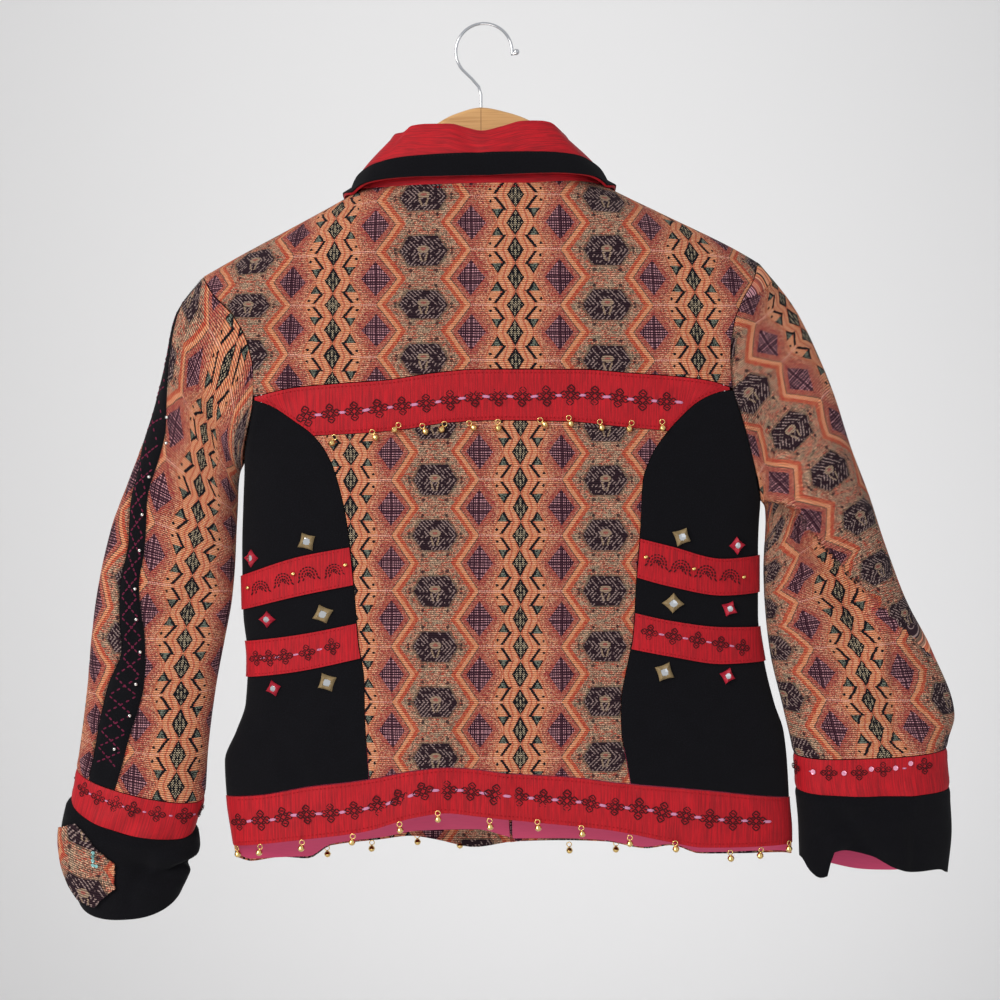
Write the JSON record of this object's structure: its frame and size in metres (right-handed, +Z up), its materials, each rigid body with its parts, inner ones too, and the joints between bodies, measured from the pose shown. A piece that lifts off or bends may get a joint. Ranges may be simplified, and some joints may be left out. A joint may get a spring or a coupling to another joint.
{
  "type": "jacket on a hanger",
  "caption": "Short boxy patchwork jacket of jacquard wool, red dupion and black wool, on a wooden hanger with a wire hook.",
  "frame": {"origin": "inner crown of the hanger's hook, where it rests on a rod", "axes": "+Z up, +Y from the jacket's back to its front, +X to the wearer's right"},
  "size_m": [0.7712, 0.0818, 0.7688],
  "materials": {
    "jacquard_wool": "matte",
    "red_dupion": "satin",
    "black_wool": "matte",
    "magenta_silk": "satin",
    "lotus_wood": "satin",
    "chromed_wire": "polished"
  },
  "bodies": {
    "root": {"back_yoke": "jacquard_wool", "yoke_band": "red_dupion", "back_panel": "jacquard_wool", "hem_band_back": "red_dupion", "side_back_left": "black_wool", "side_back_right": "black_wool", "strip_left_upper": "red_dupion", "strip_left_lower": "red_dupion", "strip_right_upper": "red_dupion", "strip_right_lower": "red_dupion", "front_left": "jacquard_wool", "front_right": "jacquard_wool", "lining_front_left": "magenta_silk", "lining_front_right": "magenta_silk", "sleeve_left_back_upper": "jacquard_wool", "sleeve_left_back_lower": "jacquard_wool", "sleeve_left_stripe": "black_wool", "sleeve_left_front_upper": "jacquard_wool", "sleeve_left_front_lower": "jacquard_wool", "sleeve_right_back_upper": "jacquard_wool", "sleeve_right_back_lower": "jacquard_wool", "sleeve_right_stripe": "black_wool", "sleeve_right_front_upper": "jacquard_wool", "sleeve_right_front_lower": "jacquard_wool", "cuff_band_left": "red_dupion", "cuff_band_right": "red_dupion", "cuff_left": "black_wool", "cuff_right": "black_wool", "cuff_lining_right": "magenta_silk", "cuff_patch": "jacquard_wool", "collar_stand": "red_dupion", "collar_leaf": "red_dupion", "collar_tape": "black_wool", "hanger_wood": "lotus_wood", "hanger_hook": "chromed_wire"}
  },
  "joints": []
}
